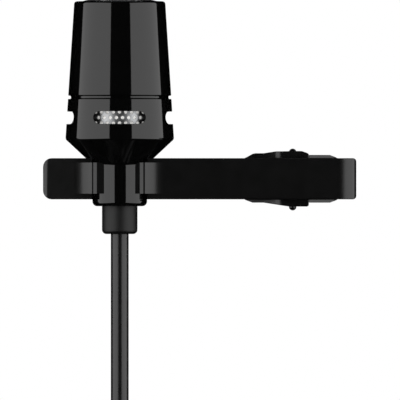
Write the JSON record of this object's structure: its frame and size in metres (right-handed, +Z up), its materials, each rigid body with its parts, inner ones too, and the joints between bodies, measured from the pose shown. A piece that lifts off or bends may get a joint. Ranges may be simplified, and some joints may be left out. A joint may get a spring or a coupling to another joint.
{
  "type": "lavalier microphone",
  "caption": "Small black clip-on microphone standing in a split ring on a sprung bar clip, with side ports, strain boot, thin coiled cable and a latching mini plug.",
  "frame": {"origin": "on the bar's grip face, where the clip holds the garment, straight behind the microphone's axis at the bar's middle height", "axes": "+X along the bar towards its thumb end, +Y out of the grip face towards the garment, +Z up along the microphone; the front faces -Y"},
  "size_m": [0.045, 0.0191, 0.1399],
  "materials": {
    "shell_black": "high-gloss black lacquer",
    "grille_metal": "fine perforated steel",
    "felt_white": "pale acoustic felt",
    "foam_grey": "open-cell foam",
    "moulded_grey": "moulded",
    "gasket_rubber": "soft rubber",
    "can_metal": "drawn and crimped",
    "brass_gold": "gold-plated",
    "film": "metallised film",
    "insulator_white": "moulded insulator",
    "board_green": "solder-masked board",
    "wire_red": "insulated wire",
    "cable_black": "satin jacket",
    "boot_black": "matt moulded rubber",
    "clip_black": "satin black lacquer",
    "pin_black": "blackened steel",
    "spring_steel": "bright wire",
    "tie_black": "woven hook-and-loop strap",
    "plug_metal": "black-chromed brass",
    "plug_plastic": "moulded"
  },
  "bodies": {
    "clip": {"clip_bar": "clip_black", "pivot_pin": "pin_black", "jaw_spring": "spring_steel"},
    "jaw": {"jaw_lever": "clip_black"},
    "mic": {"front_cap": "shell_black", "top_grille": "grille_metal", "grille_foam": "foam_grey", "port_housing": "shell_black", "port_screen": "grille_metal", "port_felt": "felt_white", "capsule_carrier": "moulded_grey", "front_gasket": "gasket_rubber", "capsule_can": "can_metal", "diaphragm_ring": "brass_gold", "diaphragm": "film", "spacer_ring": "insulator_white", "backplate": "brass_gold", "capsule_cup": "insulator_white", "capsule_board": "board_green", "transistor": "moulded_grey", "lead_wires": "wire_red", "crimp_sleeve": "can_metal", "cable_core": "cable_black", "strain_boot": "boot_black", "cable_drop": "cable_black", "cable_coil": "cable_black", "cable_tie": "tie_black", "cable_tail": "cable_black", "plug_relief": "boot_black", "plug_nut": "plug_metal", "plug_shell": "plug_metal", "plug_insert": "plug_plastic", "plug_contacts": "brass_gold", "plug_wires": "wire_red", "cable_clamp": "can_metal", "plug_lead": "cable_black", "latch_spring": "spring_steel"},
    "latch": {"plug_latch": "plug_plastic"}
  },
  "joints": [
    {"name": "jaw_hinge", "type": "hinge", "parent": "clip", "child": "jaw", "pos_m": [0.0199, -0.0026, 0], "axis": [0, 0, -1], "range_deg": [0, 22], "stiffness_Nm_per_rad": 0.03, "springref_deg": -34.38, "deforming": ["jaw_spring"]},
    {"name": "mic_swivel", "type": "hinge", "parent": "clip", "child": "mic", "pos_m": [0, -0.0043, 0], "axis": [0, 0, 1], "continuous": true},
    {"name": "latch_press", "type": "slide", "parent": "mic", "child": "latch", "axis": [0, 1, 0], "range_m": [0, 0.0006], "stiffness_N_per_m": 100, "springref_m": -0.002, "deforming": ["latch_spring"]}
  ]
}
